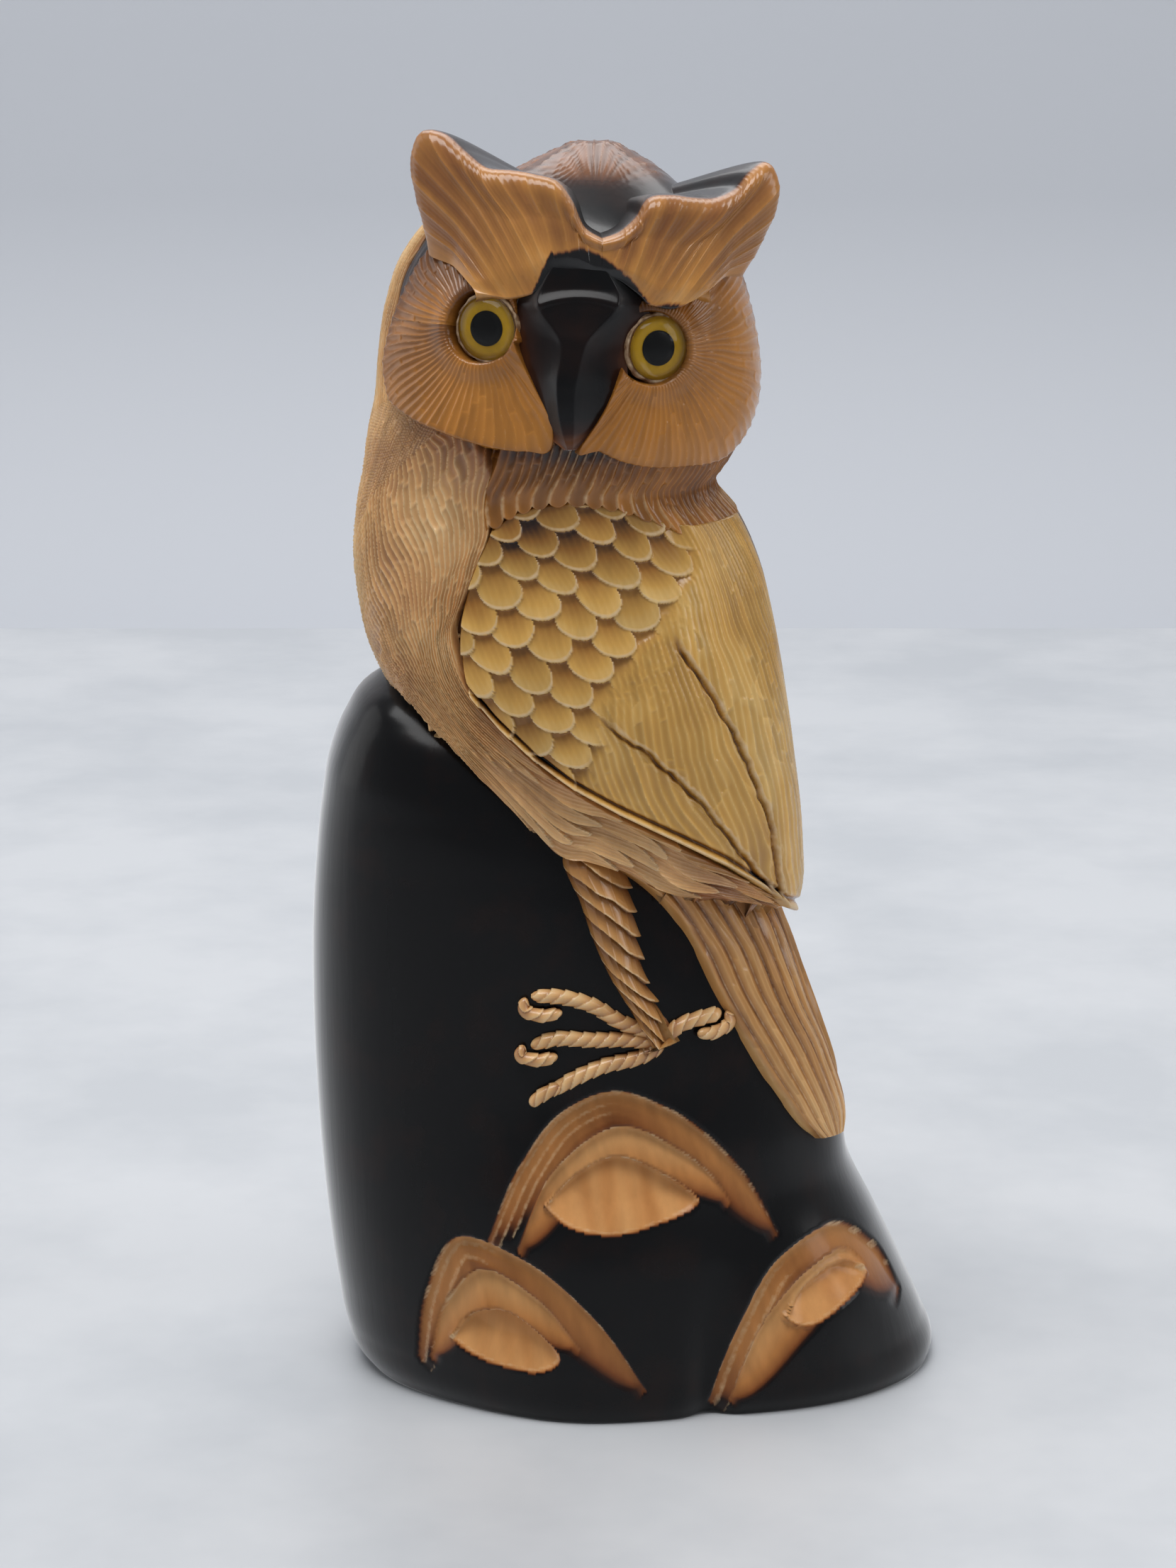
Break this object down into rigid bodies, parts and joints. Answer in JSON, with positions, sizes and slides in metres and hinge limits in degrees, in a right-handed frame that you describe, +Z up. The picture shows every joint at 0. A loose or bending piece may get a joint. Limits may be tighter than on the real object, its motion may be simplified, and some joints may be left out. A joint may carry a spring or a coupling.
{
  "type": "owl figurine",
  "caption": "Carved polished horn owl with an amber body and glass eyes, perched in profile on a black horn rock with scalloped facets.",
  "frame": {"origin": "centre of the base's bounding rectangle, on the surface that the figure stands on", "axes": "+Z up, +X towards the tail, -X towards the breast, -Y towards the viewer whom the owl looks at"},
  "size_m": [0.0842, 0.054, 0.165],
  "materials": {
    "horn_black": "polished black buffalo horn",
    "horn_amber": "gouged and lacquered amber horn",
    "horn_pale": "gouged and lacquered pale horn",
    "eye_adhesive": "dried clear-white adhesive",
    "iris_enamel": "yellow enamel with a brown rim",
    "pupil_enamel": "black enamel",
    "eye_glass": "fire-polished clear glass"
  },
  "bodies": {
    "root": {"rock": "horn_black", "facet_centre": "horn_pale", "facet_left": "horn_pale", "facet_right": "horn_pale", "owl": "horn_amber", "beak": "horn_black", "eye_bed_left": "eye_adhesive", "eye_iris_left": "iris_enamel", "eye_pupil_left": "pupil_enamel", "eye_dome_left": "eye_glass", "eye_bed_right": "eye_adhesive", "eye_iris_right": "iris_enamel", "eye_pupil_right": "pupil_enamel", "eye_dome_right": "eye_glass"}
  },
  "joints": []
}
